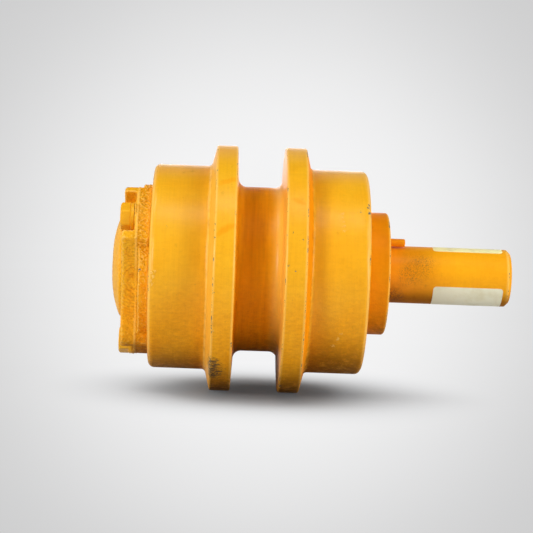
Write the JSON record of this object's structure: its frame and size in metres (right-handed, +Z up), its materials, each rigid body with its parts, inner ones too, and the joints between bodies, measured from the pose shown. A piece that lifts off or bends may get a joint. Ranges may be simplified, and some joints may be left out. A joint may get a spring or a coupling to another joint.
{
  "type": "carrier roller",
  "caption": "Flanged carrier roller for a crawler track, turning on tapered roller bearings on a cantilever shaft, with a face seal and a lobed end cover.",
  "frame": {"origin": "on the spin axis, in the collar's outer face, where the mounting pin begins", "axes": "+Y along the spin axis towards the mounting pin's free end, -Y towards the end cover; +Z up, with the dowel pin above the shaft; the side seen in the picture faces +X"},
  "size_m": [0.2444, 0.3954, 0.2444],
  "materials": {
    "shell_paint": "gloss yellow-orange paint over machined forging",
    "cover_paint": "gloss yellow-orange paint over rough casting",
    "bolt_paint": "yellow-orange paint over steel fasteners",
    "collar_paint": "gloss yellow-orange paint",
    "shaft_paint": "yellow-orange paint over ground steel",
    "bearing_steel": "ground bearing steel",
    "cage_steel": "pressed sheet steel",
    "seal_iron": "lapped hard iron",
    "seal_rubber": "matt black rubber",
    "label_film": "blank cream-white label"
  },
  "bodies": {
    "shaft": {"shaft": "shaft_paint", "seal_collar": "collar_paint", "collar_o_ring": "seal_rubber", "dowel_pin": "collar_paint", "inner_bearing_cone": "bearing_steel", "outer_bearing_cone": "bearing_steel", "bearing_lock_nut": "bearing_steel", "lock_washer": "cage_steel", "stationary_seal_ring": "seal_iron", "stationary_toric_ring": "seal_rubber"},
    "roller": {"roller_shell": "shell_paint", "end_cover": "cover_paint", "cover_bolts": "bolt_paint", "cover_washers": "bolt_paint", "cover_o_ring": "seal_rubber", "cover_plug": "cover_paint", "inner_bearing_cup": "bearing_steel", "outer_bearing_cup": "bearing_steel", "rotating_seal_ring": "seal_iron", "rotating_toric_ring": "seal_rubber"},
    "outer_cage": {"outer_bearing_cage": "cage_steel", "outer_bearing_rollers": "bearing_steel"},
    "inner_cage": {"inner_bearing_cage": "cage_steel", "inner_bearing_rollers": "bearing_steel"}
  },
  "joints": [
    {"name": "roller_spin", "type": "hinge", "parent": "shaft", "child": "roller", "pos_m": [0, -0.1279, 0], "axis": [0, 1, 0], "continuous": true},
    {"name": "outer_cage_spin", "type": "hinge", "parent": "shaft", "child": "outer_cage", "pos_m": [0, -0.19845, 0], "axis": [0, 1, 0], "continuous": true},
    {"name": "inner_cage_spin", "type": "hinge", "parent": "shaft", "child": "inner_cage", "pos_m": [0, -0.05735, 0], "axis": [0, 1, 0], "continuous": true}
  ],
  "couplings": [
    {"joint": "outer_cage_spin", "follows": "roller_spin", "ratio": 0.56772},
    {"joint": "inner_cage_spin", "follows": "roller_spin", "ratio": 0.56772}
  ]
}
